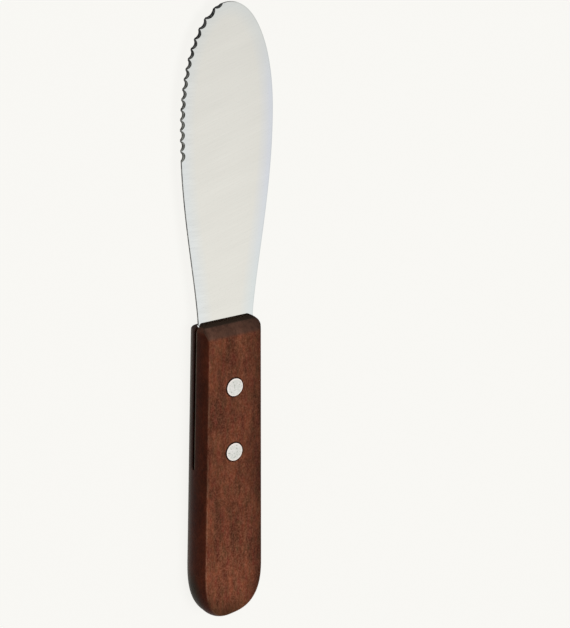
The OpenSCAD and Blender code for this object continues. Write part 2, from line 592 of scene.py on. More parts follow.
class Paint(Sheet):
    """One material, with patterns on the piece's own Object coordinates in millimetres."""

    def __init__(self, name: str) -> None:
        """Starts an empty material.

        Args:
            name: the material's name.
        """
        self.material = bpy.data.materials.new(name)
        self.material.use_nodes = True
        super().__init__(self.material.node_tree)
        self.tree.nodes.clear()
        self.object_place = self.out("ShaderNodeTexCoord", take="Object")

    def place(self, turn: float = 0.0) -> Term:
        """Object coordinates in millimetres, turned about the upright axis by some degrees."""
        inputs = {"Vector": self.object_place, "Rotation": (0.0, 0.0, -math.radians(turn))}
        return self.out("ShaderNodeMapping", inputs | {"Scale": (1 / MM,) * 3})

    def noise(self, pattern: Pattern) -> Term:
        """Lays a pattern on the piece.

        Args:
            pattern: the noise's own values.

        Returns:
            The noise as a term, from 0 to 1.
        """
        scale = tuple(1 / length for length in pattern.grain)
        inputs = {"Vector": self.place(pattern.turn), "Location": pattern.shift, "Scale": scale}
        return self.out(
            "ShaderNodeTexNoise",
            {
                "Vector": self.out("ShaderNodeMapping", inputs),
                "Scale": 1.0,
                "Detail": pattern.detail,
                "Roughness": pattern.roughness,
                "Distortion": pattern.bend,
            },
        )

    def mixed(self, share: Value, first: Tone, second: Tone) -> Term:
        """A colour a share of the way from the first to the second."""
        first, second = (one if isinstance(one, Term) else (*one, 1.0) for one in (first, second))
        return self.out("ShaderNodeMix", {0: share, 6: first, 7: second}, take=2, data_type="RGBA")

    def coated(self, colour: Tone, *coats: tuple[Value, Tone]) -> Tone:
        """Lays colours over the first, one after the other.

        Args:
            colour: the ground colour.
            coats: the share from 0 to 1 in which each coat shows, and its colour.

        Returns:
            The colour with all its coats.
        """
        for share, coat in coats:
            colour = self.mixed(share, colour, coat)
        return colour

    def bump(self, height: Value, relief: float, strength: float) -> Term:
        """A normal from a height of 0 to 1, which stands for a relief in millimetres."""
        inputs = {"Height": height, "Distance": relief * MM, "Strength": strength}
        return self.out("ShaderNodeBump", inputs)

    def surface(self, inputs: Inputs) -> Material:
        """Ends the material in one Principled BSDF with these inputs."""
        self.node("ShaderNodeOutputMaterial", {"Surface": self.out("ShaderNodeBsdfPrincipled", inputs)})
        return self.material

    def metal(self, colour: Term, roughness: Value, normal: Term) -> Material:
        """Ends the material as bare metal."""
        return self.surface(
            {"Base Color": colour, "Metallic": 1.0, "Roughness": roughness, "Normal": normal}
        )


@dataclass(frozen=True)
class OiledHardwood:
    """Red-brown hardwood, oiled; painted shade makes it darker on its sides, its front end and towards one
    crest.
    """

    light: Colour = (0.129, 0.0343, 0.0147)
    dark: Colour = (0.060, 0.0140, 0.0055)
    umber: Colour = (0.062, 0.0330, 0.0127)
    red: Colour = (0.108, 0.0150, 0.0100)
    fleck: Colour = (0.22, 0.085, 0.050)
    pore: Colour = (0.040, 0.013, 0.007)
    # Painted shade on the round-over at the front end, darker as if turned from the light
    nose: Colour = (0.076, 0.040, 0.028)
    # Painted sheen: a grey reflection of the floor on the lower part of the +y side
    sheen_colour: Colour = (0.185, 0.198, 0.162)
    olive: Colour = (0.037, 0.027, 0.003)
    # Painted highlight along the crests, where the faces meet the sides
    worn: Colour = (0.24, 0.115, 0.075)
    flank: Colour = (0.118, 0.0150, 0.0030)
    # Painted highlight on the saw cut's upper edge
    kerf_highlight: Colour = (0.115, 0.090, 0.066)
    # Painted shade on the front end face beside the blade
    end_shade_colour: Colour = (0.040, 0.028, 0.021)
    # Painted shade: the sides are darker than the flat faces, as if turned from the light
    side_shade_level: float = 0.405
    # Painted shade towards the -y edge of the faces
    right_shade_level: float = 0.46
    rear_level: float = 1.33
    # Painted shade on the side at and just under the saw cut
    saw_cut_shade_level: float = 0.45
    # Painted light lifting the wall at the front corner on the -y side
    wall_light_level: float = 2.0
    # Painted shade on the +y front corner, below the saw cut
    corner_shade_level: float = 0.3
    butt_side_level: float = 0.85
    # Painted shadow in the gap round each rivet's recess
    recess_shadow_level: float = 0.1
    oil_ior: float = 1.14
    relief: Pair = (0.05, 0.5)

    # Patches and clouds of colour, then the grain inside them
    patches: Pattern = Pattern((15.0, 4.0, 6.0), 3.0, 0.6, 0.6, shift=(3.1, 0.4, 1.7))
    clouds: Pattern = Pattern((9.0, 3.0, 4.0), 1.0, 0.5, 0.4, shift=(5.0, 1.1, 8.0))
    umber_clouds: Pattern = Pattern((4.0, 1.6, 2.0), 3.0, 0.6, 0.3, shift=(7.7, 2.1, 5.0))
    red_clouds: Pattern = Pattern((5.0, 1.4, 1.8), 3.0, 0.6, 0.3, shift=(1.3, 8.2, 4.0))
    mottle: Pattern = Pattern((1.8, 1.0, 1.0), 2.0, 0.6, shift=(6.0, 3.0, 2.0))
    flecks: Pattern = Pattern((0.55, 0.38, 0.38), 2.0, 0.75)
    short_pores: Pattern = Pattern((3.0, 0.22, 0.22), 1.0, 0.5, shift=(0.0, 5.0, 9.0))

    # The handle's own sizes, and how its round butt end leans and bows
    front: float = FRONT
    thickness: float = THICKNESS
    nose_length: float = NOSE_LENGTH
    nose_drop: float = NOSE_DROP
    nose_start_share: float = 0.19
    blade_z: float = BLADE_Z
    rivets: tuple[float, ...] = RIVETS_X
    recess_r: float = 2.8
    # Painted shadow ring round each rivet's recess, shifted so it is wider towards +x and +y
    recess_shadow_ring: Pair = (0.05, 0.4)
    recess_shadow_shift: Pair = (0.12, 0.2)
    butt_lean: float = 0.2
    butt_bow: float = 0.0085

    # Areas at the front end and on the sides, behind that end, above the blade and below the faces
    corner_area: Area = (("behind", 2.0, 1.1),)
    side_area: Area = (("below", 0.12, 0.5),)
    # Painted shade on the round-over
    nose_shade_area: Area = (("behind", 3.7, 2.7),)
    # Painted highlight along the crests
    crest_highlight_area: Area = (("below", 0.002, 0.02), ("below", 0.2, 0.1))
    # Painted highlight on the saw cut's upper edge
    kerf_highlight_area: Area = (("x", 1.0, 2.0), ("above", 0.42, 0.5), ("above", 0.95, 0.7))
    # Painted shade on the side at and just under the saw cut
    saw_cut_shade_area: Area = (("x", 1.0, 2.0), ("above", -2.2, -0.8), ("above", 0.4, 0.3))
    # Painted sheen low on the +y side
    lower_sheen_area: Area = (("y", -1.0, 4.0), ("z", 5.0, 0.5), ("z", 5.0, 0.5))
    # Painted shade on the front end face beside the blade
    end_shade_area: Area = (("behind", 0.35, 0.1), ("y", -9.7, -9.2))
    # Painted light on the wall at the front corner on the -y side
    wall_light_area: Area = (("behind", 2.0, 1.0), ("y", -8.4, -9.2), ("below", 0.0, 0.3))
    shaded_area: Area = (("behind", 2.5, 1.0), ("above", -0.3, -0.6), ("y", 0.0, 4.0))

    # Areas along the whole handle, and at its butt, whose end leans
    fore_area: Area = (("x", -28.0, -8.0),)
    upper_area: Area = (("z", 5.5, 9.0),)
    # Painted shade towards the -y edge
    right_area: Area = (("y", -3.5, -9.5),)
    rear_area: Area = (("x", -5.0, -32.0),)
    stain_area: Area = (("x", -29.0, -36.0), ("y", -2.0, 3.0), ("z", 8.0, 5.5))
    butt_area: Area = (("slanted", -38.5, -43.0),)
    butt_tint_area: Area = (("y", -6.0, 0.0),)
    butt_shade_area: Area = (("y", -6.0, 2.0),)

    def build(self) -> Material:
        """Builds the material.

        Returns:
            The handle's wood.
        """
        paint = Paint("oiled_hardwood")
        x, y, z = paint.split(paint.place())
        patches, clouds = paint.noise(self.patches), paint.noise(self.clouds)
        umber_clouds, red_clouds = paint.noise(self.umber_clouds), paint.noise(self.red_clouds)
        mottle, flecks = paint.noise(self.mottle), paint.noise(self.flecks)
        pores = paint.noise(self.short_pores).share(0.62, 0.78)

        # Where a place lies; the flat faces' own level falls at the round-over
        fall = x.share(self.front - self.nose_length, self.front)
        crest = self.thickness / 2 - self.nose_drop * fall * blend(self.nose_start_share, 1.0, fall)
        at = {
            "x": x,
            "y": y,
            "z": z,
            "behind": self.front - x,
            "above": z - self.blade_z,
            "below": crest - abs(z - self.thickness / 2),
            "slanted": x + y * self.butt_lean - abs(y) ** 3.0 * self.butt_bow,
        }
        corner = within(self.corner_area, at)
        side = within(self.side_area, at) * blend(1.0, 0.2, corner)
        face = 1.0 - side
        butt = within(self.butt_area, at)

        # Painted shade on the side at and just under the saw cut, a painted highlight on the cut's upper
        # edge, and a painted sheen low on the +y side
        kerf_highlight = within(self.kerf_highlight_area, at, side)
        saw_cut_shade = within(self.saw_cut_shade_area, at, side)
        lower_sheen = within(self.lower_sheen_area, at, side * (1.0 - corner)) * 0.6
        end = within(self.end_shade_area, at)

        colour = paint.coated(
            self.dark,
            (patches.share(0.38, 0.62), self.light),
            (umber_clouds.share(0.45, 0.65) * 0.55, self.umber),
            (red_clouds.share(0.50, 0.68) * 0.6, self.red),
            (pores * 0.6, self.pore),
            (flecks.share(0.40, 0.68) * 0.62, self.fleck),
            # Painted shade on the round-over
            (within(self.nose_shade_area, at, face) * 0.85, self.nose),
            (side * 0.55, self.flank),
            (within(self.stain_area, at, side) * 0.8, self.olive),
            (within(self.butt_tint_area, at, butt) * face * 0.45, self.umber),
            # Painted highlight along the crests
            (within(self.crest_highlight_area, at, 1.0 - corner) * umber_clouds.share(0.35, 0.6) * 0.5, self.worn),
            # Painted highlight on the saw cut's upper edge
            (kerf_highlight, self.kerf_highlight),
        )
        level = graded(
            blend(0.76, 1.24, mottle.share(0.3, 0.7)) * blend(0.84, 1.16, clouds.share(0.35, 0.65)),
            # Painted shade on the sides
            (self.side_shade_level, side * (1.0 - kerf_highlight)),
            (blend(0.95, 1.14, within(self.fore_area, at)), within(self.upper_area, at, side)),
            # Painted shade at and just under the saw cut
            (self.saw_cut_shade_level, saw_cut_shade),
            # Painted shade towards the -y edge
            (self.right_shade_level, within(self.right_area, at)),
            (self.rear_level, within(self.rear_area, at)),
            (blend(0.9, 0.56, within(self.butt_shade_area, at)), butt * face),
            (self.butt_side_level, butt * side),
            # Painted light on the -y front corner's wall
            (self.wall_light_level, within(self.wall_light_area, at)),
            # Painted shade on the +y front corner, below the saw cut
            (self.corner_shade_level, within(self.shaded_area, at)),
        )
        # Painted shadow round each rivet's recess
        for rivet_x in self.rivets:
            away = distance(x - (rivet_x + self.recess_shadow_shift[0]), y - self.recess_shadow_shift[1]) - self.recess_r
            level = level * blend(self.recess_shadow_level, 1.0, away.share(*self.recess_shadow_ring))
        # Painted shade on the front end face beside the blade, and the painted sheen low on the +y side
        colour = paint.coated(
            paint.scaled(colour, level), (end * 0.9, self.end_shade_colour), (lower_sheen * (1.0 - saw_cut_shade), self.sheen_colour)
        )
        return paint.surface(
            {
                "Base Color": colour,
                "Roughness": blend(0.36, 0.52, flecks).at_least(end),
                "IOR": self.oil_ior,
                "Specular IOR Level": blend(0.5, 0.15, saw_cut_shade.at_least(end)),
                "Normal": paint.bump(blend(flecks, 0.0, pores), *self.relief),
            }
        )


@dataclass(frozen=True)
class SatinSteel:
    """Stainless sheet, brushed across, with a ground band at its edge whose cooler tints are a painted
    reflection.
    """

    field_colour: Colour = (0.761, 0.754, 0.722)
    near_colour: Colour = (0.815, 0.808, 0.770)
    # Painted reflection: the ground band's cooler tints, different on each side and at the tip
    left_band: Colour = (0.753, 0.785, 0.803)
    right_band: Colour = (0.714, 0.742, 0.808)
    tip_band: Colour = (0.742, 0.764, 0.762)
    right_neck: Colour = (0.735, 0.780, 0.795)
    relief: Pair = (0.006, 0.35)
    brushing: Pattern = Pattern((14.0, 0.28, 0.28), 3.0, 0.65, turn=-76.0)
    sweeps: Pattern = Pattern((26.0, 5.0, 5.0), 2.0, 0.5, turn=-76.0)
    ripples: Pattern = Pattern((0.8, 9.0, 9.0), 2.0, 0.6, turn=-8.0, shift=(0.0, 3.0, 1.0))

    # An inset is measured inwards from the edge as it was before the scallops
    far_area: Area = (("x", FRONT, 139.0),)
    open_area: Area = (("x", 46.5, 49.5),)
    past_neck_area: Area = (("x", 55.0, 85.0),)
    tip_area: Area = (("x", 112.0, 128.0),)
    right_area: Area = (("y", 2.0, -2.0),)
    dim_area: Area = (("y", -3.0, -11.0),)
    band_area: Area = (("inset", 4.8, 1.0),)
    rim_area: Area = (("inset", 0.4, 0.15), ("y", 0.0, -2.0))
    ripple_area: Area = (("inset", 5.0, 2.0), ("y", 0.0, 5.0))

    def build(self) -> Material:
        """Builds the material.

        Returns:
            The blade's steel.
        """
        paint = Paint("satin_steel")
        x, y, _ = paint.split(paint.place())
        inset = paint.out("ShaderNodeAttribute", take="Fac", attribute_name="edge_inset")
        at = {"x": x, "y": y, "inset": inset}
        brushing, sweeps = paint.noise(self.brushing), paint.noise(self.sweeps)
        ripples = paint.noise(self.ripples).share(0.35, 0.65)
        far, open_sheet = within(self.far_area, at), within(self.open_area, at)
        right = paint.mixed(within(self.past_neck_area, at), self.right_neck, self.right_band)
        edge = paint.coated(
            self.left_band, (within(self.right_area, at), right), (within(self.tip_area, at), self.tip_band)
        )
        edge = paint.scaled(edge, blend(1.03, 0.96, far))
        colour = paint.coated(
            self.near_colour, (far, self.field_colour), (within(self.band_area, at), edge)
        )
        level = graded(
            blend(0.975, 1.025, brushing.share(0.25, 0.75)) * blend(0.97, 1.03, sweeps),
            (0.955, far ** 3.0),
            (0.98, within(self.dim_area, at)),
            (0.9, within(self.rim_area, at)),
            (blend(0.965, 1.03, ripples), within(self.ripple_area, at)),
        )
        return paint.metal(
            paint.scaled(colour, level),
            blend(0.15, 0.25, brushing) * blend(0.2, 1.0, open_sheet),
            paint.bump(brushing * open_sheet, *self.relief),
        )


@dataclass(frozen=True)
class GroundSteel:
    """Freshly ground steel on the scallops and the edge's own wall, darkened by a painted dark reflection,
    with painted shade along each face's top and bottom.
    """

    # Painted dark reflection, darker towards the tip
    tip_colour: Colour = (0.045, 0.045, 0.046)
    heel_colour: Colour = (0.155, 0.158, 0.147)
    relief: Pair = (0.01, 0.4)
    grinding: Pattern = Pattern((0.07, 0.07, 2.0), 2.0, 0.6)
    dots: Pattern = Pattern((0.45, 3.0, 3.0), 1.0, 0.5)
    wear: Pattern = Pattern((1.1, 0.5, 3.0), 1.0, 0.5, shift=(4.0, 2.0, 0.0))
    # Painted shade along the top and bottom of each ground face, lighter in its middle
    rim_area: Area = (("z", 4.42, 4.62), ("z", 5.0, 4.84))
    plain_edge_area: Area = (("x", 94.6, 94.2),)
    heel_area: Area = (("x", 133.0, 100.0),)

    def build(self) -> Material:
        """Builds the material.

        Returns:
            The steel of the ground faces.
        """
        paint = Paint("ground_steel")
        x, _, z = paint.split(paint.place())
        at = {"x": x, "z": z}
        lines, dots, wear = (paint.noise(one) for one in (self.grinding, self.dots, self.wear))
        level = graded(
            blend(0.13, 1.3, within(self.rim_area, at))
            * blend(0.8, 1.2, lines)
            * blend(0.45, 1.45, wear.share(0.35, 0.65)),
            (blend(0.3, 1.4, dots.share(0.3, 0.7)), within(self.plain_edge_area, at)),
        )
        colour = paint.mixed(within(self.heel_area, at), self.tip_colour, self.heel_colour)
        return paint.metal(
            paint.scaled(colour, level), blend(0.35, 0.5, lines), paint.bump(lines, *self.relief)
        )


@dataclass(frozen=True)
class RivetSteel:
    """Bright rivet steel, tumbled, with a few small pits and a painted highlight near each head's edge."""

    face: Colour = (0.665, 0.685, 0.655)
    bright: Colour = (0.81, 0.80, 0.79)
    # Painted highlight: a pale warm ring near each head's edge
    rim: Colour = (0.95, 0.88, 0.85)
    pit: Colour = (0.36, 0.37, 0.34)
    relief: Pair = (0.01, 0.3)
    tumbling: Pattern = Pattern((0.8, 0.8, 0.8), 3.0, 0.7)
    pitting: Pattern = Pattern((0.5, 0.5, 0.5), 0.0, 0.5, shift=(2.0, 7.0, 0.0))
    rivets: tuple[float, ...] = RIVETS_X
    rim_highlight_radii: Pair = (2.25, 2.5)

    def build(self) -> Material:
        """Builds the material.

        Returns:
            The rivets' steel.
        """
        paint = Paint("rivet_steel")
        x, y, _ = paint.split(paint.place())
        tumbling, pits = paint.noise(self.tumbling), paint.noise(self.pitting)
        front_x, rear_x = (abs(x - rivet_x) for rivet_x in self.rivets)
        away = distance(front_x.at_most(rear_x), y)
        colour = paint.coated(
            self.face,
            (tumbling.share(0.38, 0.62), self.bright),
            (pits.share(0.66, 0.76) * 0.8, self.pit),
            # Painted highlight near each head's edge
            (away.share(*self.rim_highlight_radii), self.rim),
        )
        return paint.metal(colour, blend(0.28, 0.42, tumbling), paint.bump(tumbling, *self.relief))


# The knife


@dataclass
class Handle:
    """The one-piece wooden handle."""

    finish: OiledHardwood = field(default_factory=OiledHardwood)
    length: float = 90.0
    front_width: float = 20.4
    butt_width: float = 22.1
    thickness: float = THICKNESS
    side_swell: float = 1.5
    butt_length: float = 16.0
    butt_power: float = 2.75
    butt_slant: float = 0.19
    butt_swell_share: float = 0.9
    corner_radius: float = 2.0
    crest_radius: float = 0.45
    nose_length: float = NOSE_LENGTH
    nose_drop: float = NOSE_DROP
    nose_break: float = 8.0
    blade_drop: float = 0.35
    slot_width: float = 0.95
    slot_depth: float = 44.7
    saw_r: float = 60.0
    rivet_setbacks: tuple[float, ...] = tuple(SETBACKS.values())
    bore_d: float = 4.3
    recess_d: float = 5.6
    recess_depth: float = 1.2
    around: int = 361
    across: int = 61
    nose_steps: int = 40
    saw_steps: int = 720
    bore_steps: int = 96

    @property
    def front(self) -> float:
        """Where the handle's front end lies in the part's frame."""
        return self.length / 2

    def block_tree(self, wood: Material) -> ShapeTree:
        """Builds the tree for the swelled block, with filleted crests and a round butt.

        Args:
            wood: the handle's material.

        Returns:
            The tree.
        """
        tree = ShapeTree(
            "swelled_handle_block",
            self,
            "length front_width butt_width thickness side_swell butt_length butt_power butt_slant "
            "butt_swell_share corner_radius crest_radius around across",
        )
        size, quarter = tree.size, math.pi / 2
        thick, crest, corner = size("thickness"), size("crest_radius"), size("corner_radius")
        length, butt_length = size("length"), size("butt_length")
        front_width, butt_width = size("front_width"), size("butt_width")
        sheet, round_share, up_share = tree.patch(size("around"), size("across"))

        # Up the side: swell arc, crest fillet, then in across the flat face
        arc_end, fillet_end = 0.4, 0.6
        face, rise = halves(up_share)
        swell_r = arc_radius(thick ** 2.0, size("side_swell"))
        start_angle = ((thick / 2.0 - crest) / (swell_r - crest)).math("ARCSINE")
        arc = rise.share(0.0, arc_end) * start_angle
        fillet = blend(start_angle, quarter, rise.share(arc_end, fillet_end))
        inset = swell_r - swell_r * arc.cos() + crest * (start_angle.cos() - fillet.cos())
        height = face * (swell_r * arc.sin() + crest * (fillet.sin() - start_angle.sin()))
        inward = rise.share(fillet_end, 1.0) ** 2.0

        # Round the outline: half the front end, corner, side and butt, on both hands
        end_end, corner_end, side_end = 0.05, 0.13, 0.45
        hand, way = halves(round_share)
        side_length = length - butt_length
        corner_angle = way.share(end_end, corner_end) * quarter
        run = way.share(corner_end, side_end)
        butt_angle = way.share(side_end, 1.0) * quarter
        bow = 2.0 / size("butt_power")
        back = (
            corner * (1.0 - corner_angle.cos())
            + (side_length - corner) * run
            + (butt_length - inset * size("butt_swell_share")) * butt_angle.sin().at_least(0.0) ** bow
        )
        half = (
            way.share(0.0, end_end) * (front_width / 2.0 - inset - corner)
            + corner * corner_angle.sin()
            + (butt_width - front_width) / 2.0 * run
        ) * butt_angle.cos().at_least(0.0) ** bow
        spine = back.at_least(front_width / 2.0).at_most(length - butt_width / 2.0)
        slant = size("butt_slant") * (height * 2.0 / thick).at_least(0.0) * hand * half
        slanted = back + slant * ((back - side_length) / butt_length).at_least(0.0)
        block = tree.placed(
            sheet,
            self.front - blend(slanted, spine, inward),
            hand * half * (1.0 - inward),
            thick / 2.0 + height,
        )
        tree.end(tree.joined(block), (wood, True))
        return tree

    def nose_cutter(self, upper: bool) -> Piece:
        """Makes what the round-over takes off one face's front end.

        Args:
            upper: whether the face is the upper one.

        Returns:
            A closed object.
        """
        drop, run, angle = self.nose_drop, self.nose_length, math.radians(self.nose_break)
        top, past_end = self.thickness, 0.2
        radius = math.hypot(drop, run) / (2 * math.sin(math.atan(drop / run) - angle))
        centre_x, centre_z = -run - radius * math.sin(angle), top - radius * math.cos(angle)
        outline = [
            (centre_x + radius * math.sin(a), centre_z + radius * math.cos(a))
            for a in np.linspace(angle, math.asin((past_end - centre_x) / radius), self.nose_steps)
        ]
        outline += [(past_end, top + PAST), (-run, top + PAST)]
        if not upper:
            outline = [(x, top - z) for x, z in outline]
        count = len(outline)
        points = [(self.front + x, y, z) for y in (-self.butt_width, self.butt_width) for x, z in outline]
        faces = [tuple(range(count)), tuple(range(2 * count - 1, count - 1, -1))]
        faces += [(i, (i + 1) % count, count + (i + 1) % count, count + i) for i in range(count)]
        return outward(new_piece("nose_cutter", np.array(points), faces))

    def cutters(self) -> list[Piece]:
        """Makes the round-overs, the saw's disc and the rivets' bores.

        Returns:
            Closed objects, to be taken out of the block.
        """
        middle, half = self.thickness / 2 - self.blade_drop, self.slot_width / 2
        saw_x = self.front + self.saw_r - self.slot_depth
        saw = disc("saw_cutter", self.saw_r, middle - half, middle + half, saw_x, self.saw_steps)
        bore, recess, depth = self.bore_d / 2, self.recess_d / 2, self.recess_depth
        lower = [(0, -PAST), (recess, -PAST), (recess, depth), (bore, depth)]
        profile = lower + [(radius, self.thickness - height) for radius, height in reversed(lower)]
        bores = [
            turned("bore_cutter", profile, self.front - setback, self.bore_steps)
            for setback in self.rivet_setbacks
        ]
        return [self.nose_cutter(True), self.nose_cutter(False), saw, *bores]

    def build(self) -> list[Piece]:
        """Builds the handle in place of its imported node.

        Returns:
            The finished pieces.
        """
        wood = self.finish.build()
        piece = self.block_tree(wood).make("sawn_handle")
        carve(outward(piece), self.cutters())
        creased(dressed(piece, wood))
        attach(piece, BODY)
        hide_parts("handle")
        return [piece]


@dataclass
class Blade:
    """The stainless sheet: spreader blade and half tang in one."""

    finish: SatinSteel = field(default_factory=SatinSteel)
    ground_finish: GroundSteel = field(default_factory=GroundSteel)
    front: float = FRONT
    middle_z: float = BLADE_Z
    reach: float = 94.5
    width: float = 31.1
    neck_width: float = 18.5
    thickness: float = 0.85
    edge_thickness: float = 0.6
    band_width: float = 2.6
    widest_share: float = 0.634
    rise_power: float = 1.3
    tip_power: float = 2.1
    tang_width: float = 13.0
    tang_length: float = 43.2
    rivet_setbacks: tuple[float, ...] = tuple(SETBACKS.values())
    hole_d: float = 4.4
    scalloped_length: float = 44.5
    scallop_pitch: float = 2.89
    pitch_fall: float = 0.25
    scallop_sag: float = 0.82
    last_sag_share: float = 0.5
    scallop_tilt: float = 43.0
    tooth_inset: float = 0.06
    last_tooth_share: float = 0.85
    tang_corner_share: float = 0.3
    shoulder_gap: float = 2.0
    shoulder_share: float = 0.4
    tip_spine_gap: float = 16.0
    wall_slope: float = 0.5
    stretch_points: tuple[int, ...] = (4, 14, 24, 20, 150, 170)
    band_rings: int = 5
    spine_shares: tuple[float, ...] = (0.03, 0.08, 0.16, 0.28, 0.42, 0.58, 0.78, 1.0)
    wheel_steps: int = 180
    hole_steps: int = 72

    @property
    def widest(self) -> float:
        """How far in front of the handle the blade is widest."""
        return self.widest_share * self.reach

    def half_side(self) -> np.ndarray:
        """One side of the outline, from the middle of the tang's end to the tip.

        Returns:
            Rows of two lengths, forward and across.
        """
        back, quarter, bow = -self.tang_length, math.pi / 2, 2 / self.tip_power
        corner = self.tang_corner_share * self.tang_width
        gap, shoulder = self.shoulder_gap, self.shoulder_share * self.rivet_setbacks[0]
        half_tang, half_neck, half = self.tang_width / 2, self.neck_width / 2, self.width / 2
        end, turn, side, shoulder_points, rise, tip = self.stretch_points
        rows: list[Pair] = []

        # The tang's end, its corner, its side, and the shoulder out to the neck
        rows += [(back, y) for y in np.linspace(0, half_tang - corner, end, endpoint=False)]
        rows += [
            (back + corner * (1 - math.cos(a)), half_tang - corner * (1 - math.sin(a)))
            for a in np.linspace(0, quarter, turn)
        ]
        rows += [(x, half_tang) for x in np.linspace(back + corner, -gap - shoulder, side)[1:-1]]
        rows += [
            (
                -gap - shoulder * (1 - s),
                half_tang + (half_neck - half_tang) * (1 - math.cos(math.pi * s)) / 2,
            )
            for s in np.linspace(0, 1, shoulder_points)
        ]

        # The blade out to its widest place, and round to the tip
        rows += [
            (x, half_neck + (half - half_neck) * math.sin(quarter * x / self.widest) ** self.rise_power)
            for x in np.linspace(0, self.widest, rise, endpoint=False)
        ]
        rows += [
            (
                self.widest + (self.reach - self.widest) * math.sin(a) ** bow,
                half * max(math.cos(a), 0.0) ** bow,
            )
            for a in np.linspace(0, quarter, tip)
        ]
        return np.array(rows)

    def outline(self) -> np.ndarray:
        """The whole edge, once round, from the middle of the tang's end.

        Returns:
            Rows of two lengths, forward and across.
        """
        side = self.half_side()
        return np.concatenate([side * (1, -1), side[-2:0:-1]])

    def blank(self) -> bpy.types.Mesh:
        """Lofts the sheet, with its ground band, before the scallops are cut.

        Returns:
            The mesh, closed.
        """
        edge = self.outline()
        run = np.roll(edge, -1, 0) - np.roll(edge, 1, 0)
        inward = np.stack([-run[:, 1], run[:, 0]], 1) / np.linalg.norm(run, axis=1)[:, None]
        band = self.band_width * np.clip(edge[:, 0] / (2 * self.band_width), 0, 1)
        spine_x = np.clip(
            edge[:, 0], self.tang_width / 2 - self.tang_length, self.reach - self.tip_spine_gap
        )
        spine = np.column_stack([spine_x, np.zeros(len(edge))])
        steps = [
            (edge + inward * (band * share)[:, None], blend(self.edge_thickness, self.thickness, share) / 2)
            for share in np.linspace(0, 1, self.band_rings)
        ]
        inner = steps[-1][0]
        steps += [
            (inner + (spine - inner) * share, self.thickness / 2)
            for share in self.spine_shares
        ]
        rings = [
            np.column_stack([self.front + flat[:, 0], flat[:, 1], np.full(len(flat), self.middle_z + z)])
            for flat, z in [(flat, -z) for flat, z in reversed(steps)] + steps
        ]
        piece = lofted("blade_blank", rings)
        mesh = piece.data
        bpy.data.objects.remove(piece)
        return mesh

    def scallop_tree(self, steel: Material, ground_steel: Material) -> ShapeTree:
        """Builds the tree that grinds the scallops: leaning wheels, one after the other along the edge.

        Args:
            steel: the sheet's material.
            ground_steel: the scallops' material.

        Returns:
            The tree, which works on the blank.
        """
        tree = ShapeTree(
            "scallop_grinder",
            self,
            "scallop_pitch pitch_fall scallop_sag last_sag_share tooth_inset last_tooth_share reach "
            "scalloped_length width neck_width rise_power tip_power wheel_steps",
            full_scallops=int(self.scalloped_length / self.scallop_pitch),
            tilt=math.radians(self.scallop_tilt),
            widest=self.widest,
        )
        size = tree.size
        reach, widest, width, neck = (size(one) for one in ("reach", "widest", "width", "neck_width"))
        power, tilt, full = size("tip_power"), size("tilt"), size("full_scallops")

        def half_width(x: Term) -> Term:
            """Half the blade's width.

            Args:
                x: the distance in front of the handle.

            Returns:
                Half the width there.
            """
            rise = (x / widest * (math.pi / 2)).sin().at_least(0.0) ** size("rise_power")
            taper = (1.0 - x.share(widest, reach) ** power).at_least(0.0) ** (1.0 / power)
            return blend(blend(neck, width, rise), width * taper, x.above(widest)) / 2.0

        def tooth(turn: Term) -> Term:
            """Place of a tooth along the knife, with steps that fall evenly towards the tip."""
            extra = size("pitch_fall") * (full - turn) / (full - 1.0)
            return reach - size("scalloped_length") + turn * (size("scallop_pitch") + extra)

        # Each wheel's chord from tooth to tooth, its radius, and its middle beside the edge
        turn = tree.out("GeometryNodeInputIndex")
        last = turn.above(full - 0.5)
        start = tooth(turn)
        stop = blend(tooth(turn + 1.0), blend(start, reach, size("last_tooth_share")), last)
        sag = size("scallop_sag") * blend(1.0, size("last_sag_share"), last)
        from_y, to_y = half_width(start), half_width(stop)
        step_x, step_y = stop - start, to_y - from_y
        wheel = arc_radius(step_x ** 2.0 + abs(step_y) ** 2.0, sag)
        angle = step_y.math("ARCTAN2", step_x)
        off = wheel / tilt.cos() - size("tooth_inset") - sag / tilt.cos()
        length = (wheel * tilt.sin() + 2.0 * self.thickness) / tilt.cos() * 2.0
        spots = tree.placed(
            tree.out("GeometryNodeMeshLine", {"Count": full + 1.0}, count_mode="TOTAL", mode="OFFSET"),
            self.front + (start + stop) / 2.0 - angle.sin() * off,
            (from_y + to_y) / 2.0 + angle.cos() * off,
            self.middle_z + self.edge_thickness / 2,
        )
        cylinder = {"Vertices": size("wheel_steps"), "Radius": 1.0, "Depth": 1.0}
        wheels = tree.out(
            "GeometryNodeInstanceOnPoints",
            {
                "Points": spots,
                "Instance": tree.out("GeometryNodeMeshCylinder", cylinder),
                "Rotation": tree.vector(tilt, 0.0, angle),
                "Scale": tree.vector(wheel * MM, wheel * MM, length * MM),
            },
        )
        marked = tree.out(
            "GeometryNodeStoreNamedAttribute",
            {
                "Geometry": tree.out("GeometryNodeRealizeInstances", {"Geometry": wheels}),
                "Name": "ground",
                "Value": True,
            },
            data_type="BOOLEAN",
            domain="FACE",
        )
        cut = tree.out(
            "GeometryNodeMeshBoolean",
            {"Mesh 1": tree.blank(), "Mesh 2": marked},
            take="Mesh",
            operation="DIFFERENCE",
            solver="MANIFOLD",
        )
        ground = tree.out("GeometryNodeInputNamedAttribute", {"Name": "ground"}, data_type="BOOLEAN")
        plain = tree.out("FunctionNodeBooleanMath", {0: ground}, operation="NOT")
        tree.end(cut, (steel, plain), (ground_steel, ground))
        return tree

